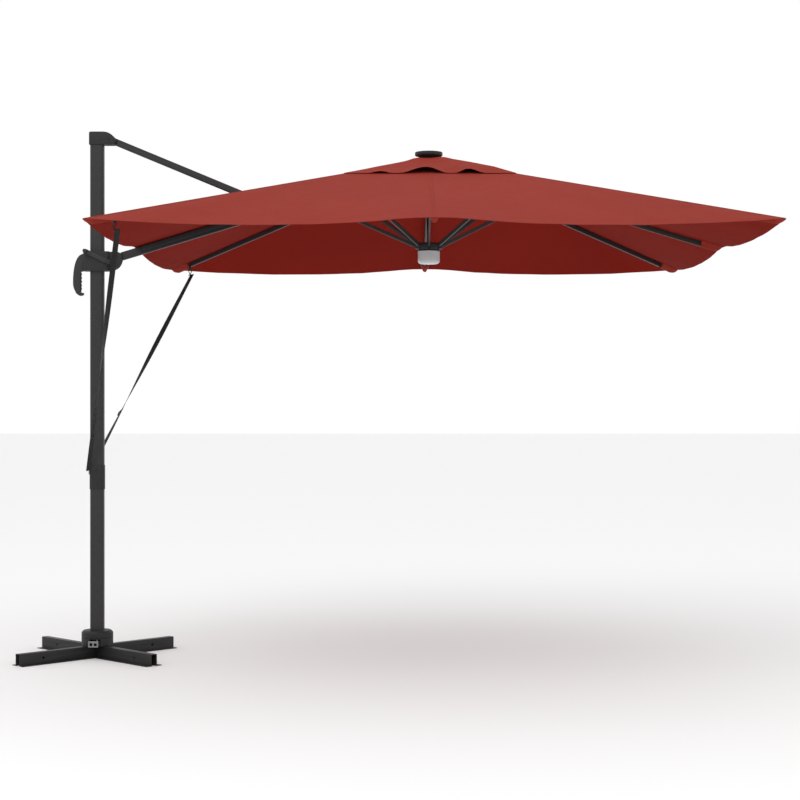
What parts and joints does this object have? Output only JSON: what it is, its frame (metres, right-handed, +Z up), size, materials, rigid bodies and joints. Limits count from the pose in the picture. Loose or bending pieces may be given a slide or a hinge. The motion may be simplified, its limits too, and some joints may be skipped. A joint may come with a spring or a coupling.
{
  "type": "patio umbrella with base",
  "caption": "Cantilever patio umbrella: square ribbed canopy hung from a boom and strut beside a mast with crank slider, on a steel cross base.",
  "frame": {"origin": "the mast's axis on the ground, at the underside of the clamp plate under the cross base", "axes": "+X from the mast towards the canopy along the boom, +Z up the mast, +Y across"},
  "size_m": [3.5625, 3, 2.6775],
  "materials": {
    "canopy_fabric": "matte",
    "strap_webbing": "matte",
    "frame_paint": "satin",
    "base_steel": "satin",
    "black_plastic": "matte",
    "bright_metal": "satin",
    "led_lens": "satin",
    "solar_glass": "gloss"
  },
  "bodies": {
    "base": {"base_bar_lower": "base_steel", "base_bar_upper": "base_steel", "clamp_plate": "base_steel", "swivel_flange": "base_steel", "turn_spindle": "bright_metal", "hub_cover": "black_plastic"},
    "lock_bolt": {"turn_lock_bolt": "bright_metal"},
    "pedal": {"foot_pedal": "bright_metal"},
    "mast": {"turn_bell": "black_plastic", "turn_bearing": "black_plastic", "mast_lower": "frame_paint", "mast_upper": "frame_paint", "mast_collar": "black_plastic", "strap_anchor": "bright_metal", "top_cap": "black_plastic", "strut_pin": "base_steel"},
    "slider": {"slider_body": "black_plastic", "grip_handle": "black_plastic", "boom_pin": "base_steel"},
    "lever": {"brake_lever": "black_plastic"},
    "shoe": {"brake_shoe": "base_steel"},
    "crank": {"crank_arm": "black_plastic", "rope_drum": "base_steel"},
    "knob": {"crank_knob": "black_plastic"},
    "boom": {"boom_tube": "frame_paint", "boom_foot": "base_steel", "knee_pin": "base_steel", "crown_hub": "black_plastic", "finial": "black_plastic", "solar_panel": "solar_glass", "lift_rope": "strap_webbing", "canopy_sheet": "canopy_fabric", "vent_cap": "canopy_fabric"},
    "pulley": {"rope_pulley": "base_steel"},
    "strut": {"strut": "frame_paint"},
    "runner": {"runner_hub": "black_plastic", "led_housing": "black_plastic", "led_lens": "led_lens"},
    "rib_far": {"rib_far": "frame_paint"},
    "stretcher_far": {"stretcher_far": "frame_paint"},
    "rib_far_back": {"rib_far_back": "frame_paint"},
    "stretcher_far_back": {"stretcher_far_back": "frame_paint"},
    "rib_back": {"rib_back": "frame_paint"},
    "stretcher_back": {"stretcher_back": "frame_paint"},
    "rib_near_back": {"rib_near_back": "frame_paint", "hook_back": "base_steel"},
    "stretcher_near_back": {"stretcher_near_back": "frame_paint"},
    "rib_mast_side": {"rib_mast_side": "frame_paint"},
    "stretcher_mast_side": {"stretcher_mast_side": "frame_paint"},
    "rib_near_front": {"rib_near_front": "frame_paint", "hook_front": "base_steel"},
    "stretcher_near_front": {"stretcher_near_front": "frame_paint"},
    "rib_front": {"rib_front": "frame_paint"},
    "stretcher_front": {"stretcher_front": "frame_paint"},
    "rib_far_front": {"rib_far_front": "frame_paint"},
    "stretcher_far_front": {"stretcher_far_front": "frame_paint"},
    "strap_front": {"strap_front": "strap_webbing", "buckle_front": "base_steel"},
    "strap_back": {"strap_back": "strap_webbing", "buckle_back": "base_steel"}
  },
  "joints": [
    {"name": "mast_turn", "type": "hinge", "parent": "base", "child": "mast", "pos_m": [0, 0, 0.1], "axis": [0, 0, 1], "continuous": true},
    {"name": "pedal_press", "type": "hinge", "parent": "base", "child": "pedal", "pos_m": [0, -0.065, 0.076], "axis": [1, 0, 0], "range_deg": [0, 14], "stiffness_Nm_per_rad": 3, "springref_deg": -8.59},
    {"name": "lock_bolt_drop", "type": "slide", "parent": "base", "child": "lock_bolt", "axis": [0, 0, -1], "range_m": [0, 0.0062]},
    {"name": "slider_slide", "type": "slide", "parent": "mast", "child": "slider", "axis": [0, 0, -1], "range_m": [0, 0.3]},
    {"name": "lever_squeeze", "type": "slide", "parent": "slider", "child": "lever", "axis": [-1, 0, 0], "range_m": [0, 0.004], "stiffness_N_per_m": 900, "springref_m": -0.004},
    {"name": "shoe_release", "type": "slide", "parent": "slider", "child": "shoe", "axis": [-1, 0, 0], "range_m": [0, 0.0032]},
    {"name": "boom_lift", "type": "hinge", "parent": "slider", "child": "boom", "pos_m": [0.105, 0, 2.03709], "axis": [0, -1, 0], "range_deg": [0, 12.1]},
    {"name": "strut_swing", "type": "hinge", "parent": "mast", "child": "strut", "pos_m": [0.062, 0, 2.6406], "axis": [0, 1, 0], "range_deg": [0, 9.31]},
    {"name": "canopy_fold", "type": "slide", "parent": "boom", "child": "runner", "axis": [0, 0, -1], "range_m": [0, 0.625], "deforming": ["canopy_sheet", "vent_cap", "lift_rope", "strap_front", "strap_back"]},
    {"name": "crank_turn", "type": "hinge", "parent": "slider", "child": "crank", "pos_m": [0.062, 0, 2.012], "axis": [0, 1, 0], "range_deg": [0, 1981]},
    {"name": "knob_spin", "type": "hinge", "parent": "crank", "child": "knob", "pos_m": [-0.05263, -0.068, 2.06668], "axis": [0, 1, 0], "continuous": true},
    {"name": "pulley_spin", "type": "hinge", "parent": "boom", "child": "pulley", "pos_m": [1.6765, 0, 2.50518], "axis": [0, 1, 0], "range_deg": [0, 2171]},
    {"name": "rib_far_hinge", "type": "hinge", "parent": "boom", "child": "rib_far", "pos_m": [1.748, 0, 2.509], "axis": [0, 1, 0], "range_deg": [0, 57.03]},
    {"name": "stretcher_far_hinge", "type": "hinge", "parent": "rib_far", "child": "stretcher_far", "pos_m": [2.24365, 0, 2.33664], "axis": [0, 1, 0], "range_deg": [-108.42, 0]},
    {"name": "rib_far_back_hinge", "type": "hinge", "parent": "boom", "child": "rib_far_back", "pos_m": [1.73189, 0.03889, 2.509], "axis": [-0.7071, 0.7071, 0], "range_deg": [0, 57.13]},
    {"name": "stretcher_far_back_hinge", "type": "hinge", "parent": "rib_far_back", "child": "stretcher_far_back", "pos_m": [2.08716, 0.39415, 2.37954], "axis": [-0.7071, 0.7071, 0], "range_deg": [-101.47, 0]},
    {"name": "rib_back_hinge", "type": "hinge", "parent": "boom", "child": "rib_back", "pos_m": [1.693, 0.055, 2.509], "axis": [-1, 0, 0], "range_deg": [0, 57.03]},
    {"name": "stretcher_back_hinge", "type": "hinge", "parent": "rib_back", "child": "stretcher_back", "pos_m": [1.693, 0.55065, 2.33664], "axis": [-1, 0, 0], "range_deg": [-108.42, 0]},
    {"name": "rib_near_back_hinge", "type": "hinge", "parent": "boom", "child": "rib_near_back", "pos_m": [1.65411, 0.03889, 2.509], "axis": [-0.7071, -0.7071, 0], "range_deg": [0, 57.13]},
    {"name": "stretcher_near_back_hinge", "type": "hinge", "parent": "rib_near_back", "child": "stretcher_near_back", "pos_m": [1.29885, 0.39415, 2.37954], "axis": [-0.7071, -0.7071, 0], "range_deg": [-101.47, 0]},
    {"name": "rib_mast_side_hinge", "type": "hinge", "parent": "boom", "child": "rib_mast_side", "pos_m": [1.638, 0, 2.509], "axis": [0, -1, 0], "range_deg": [0, 55.56]},
    {"name": "stretcher_mast_side_hinge", "type": "hinge", "parent": "rib_mast_side", "child": "stretcher_mast_side", "pos_m": [1.14362, 0, 2.30969], "axis": [0, -1, 0], "range_deg": [-110.3, 0]},
    {"name": "rib_near_front_hinge", "type": "hinge", "parent": "boom", "child": "rib_near_front", "pos_m": [1.65411, -0.03889, 2.509], "axis": [0.7071, -0.7071, 0], "range_deg": [0, 57.13]},
    {"name": "stretcher_near_front_hinge", "type": "hinge", "parent": "rib_near_front", "child": "stretcher_near_front", "pos_m": [1.29885, -0.39415, 2.37954], "axis": [0.7071, -0.7071, 0], "range_deg": [-101.47, 0]},
    {"name": "rib_front_hinge", "type": "hinge", "parent": "boom", "child": "rib_front", "pos_m": [1.693, -0.055, 2.509], "axis": [1, 0, 0], "range_deg": [0, 57.03]},
    {"name": "stretcher_front_hinge", "type": "hinge", "parent": "rib_front", "child": "stretcher_front", "pos_m": [1.693, -0.55065, 2.33664], "axis": [1, 0, 0], "range_deg": [-108.42, 0]},
    {"name": "rib_far_front_hinge", "type": "hinge", "parent": "boom", "child": "rib_far_front", "pos_m": [1.73189, -0.03889, 2.509], "axis": [0.7071, 0.7071, 0], "range_deg": [0, 57.13]},
    {"name": "stretcher_far_front_hinge", "type": "hinge", "parent": "rib_far_front", "child": "stretcher_far_front", "pos_m": [2.08716, -0.39415, 2.37954], "axis": [0.7071, 0.7071, 0], "range_deg": [-101.47, 0]},
    {"name": "strap_front_swing", "type": "hinge", "parent": "mast", "child": "strap_front", "pos_m": [-0.04, -0.033, 0.952], "axis": [0.3971, 0.6395, 0.6583], "range_deg": [0, 71.34]},
    {"name": "strap_back_swing", "type": "hinge", "parent": "mast", "child": "strap_back", "pos_m": [-0.04, 0.033, 0.952], "axis": [-0.3971, 0.6395, -0.6583], "range_deg": [0, 71.34]}
  ],
  "couplings": [
    {"joint": "lock_bolt_drop", "follows": "pedal_press", "m_per_rad": 0.024555},
    {"joint": "shoe_release", "follows": "lever_squeeze", "ratio": 0.75},
    {"joint": "boom_lift", "follows": "slider_slide", "rad_per_m": 0.698},
    {"joint": "strut_swing", "follows": "slider_slide", "rad_per_m": 0.536},
    {"joint": "crank_turn", "follows": "canopy_fold", "rad_per_m": 55.292},
    {"joint": "pulley_spin", "follows": "canopy_fold", "rad_per_m": 60.606},
    {"joint": "rib_far_hinge", "follows": "canopy_fold", "rad_per_m": 1.5911},
    {"joint": "stretcher_far_hinge", "follows": "canopy_fold", "rad_per_m": -3.0262},
    {"joint": "rib_far_back_hinge", "follows": "canopy_fold", "rad_per_m": 1.5939},
    {"joint": "stretcher_far_back_hinge", "follows": "canopy_fold", "rad_per_m": -2.8321},
    {"joint": "rib_back_hinge", "follows": "canopy_fold", "rad_per_m": 1.5911},
    {"joint": "stretcher_back_hinge", "follows": "canopy_fold", "rad_per_m": -3.0262},
    {"joint": "rib_near_back_hinge", "follows": "canopy_fold", "rad_per_m": 1.5939},
    {"joint": "stretcher_near_back_hinge", "follows": "canopy_fold", "rad_per_m": -2.8321},
    {"joint": "rib_mast_side_hinge", "follows": "canopy_fold", "rad_per_m": 1.55},
    {"joint": "stretcher_mast_side_hinge", "follows": "canopy_fold", "rad_per_m": -3.0789},
    {"joint": "rib_near_front_hinge", "follows": "canopy_fold", "rad_per_m": 1.5939},
    {"joint": "stretcher_near_front_hinge", "follows": "canopy_fold", "rad_per_m": -2.8321},
    {"joint": "rib_front_hinge", "follows": "canopy_fold", "rad_per_m": 1.5911},
    {"joint": "stretcher_front_hinge", "follows": "canopy_fold", "rad_per_m": -3.0262},
    {"joint": "rib_far_front_hinge", "follows": "canopy_fold", "rad_per_m": 1.5939},
    {"joint": "stretcher_far_front_hinge", "follows": "canopy_fold", "rad_per_m": -2.8321},
    {"joint": "strap_front_swing", "follows": "canopy_fold", "rad_per_m": 1.9907},
    {"joint": "strap_back_swing", "follows": "canopy_fold", "rad_per_m": 1.9907}
  ]
}
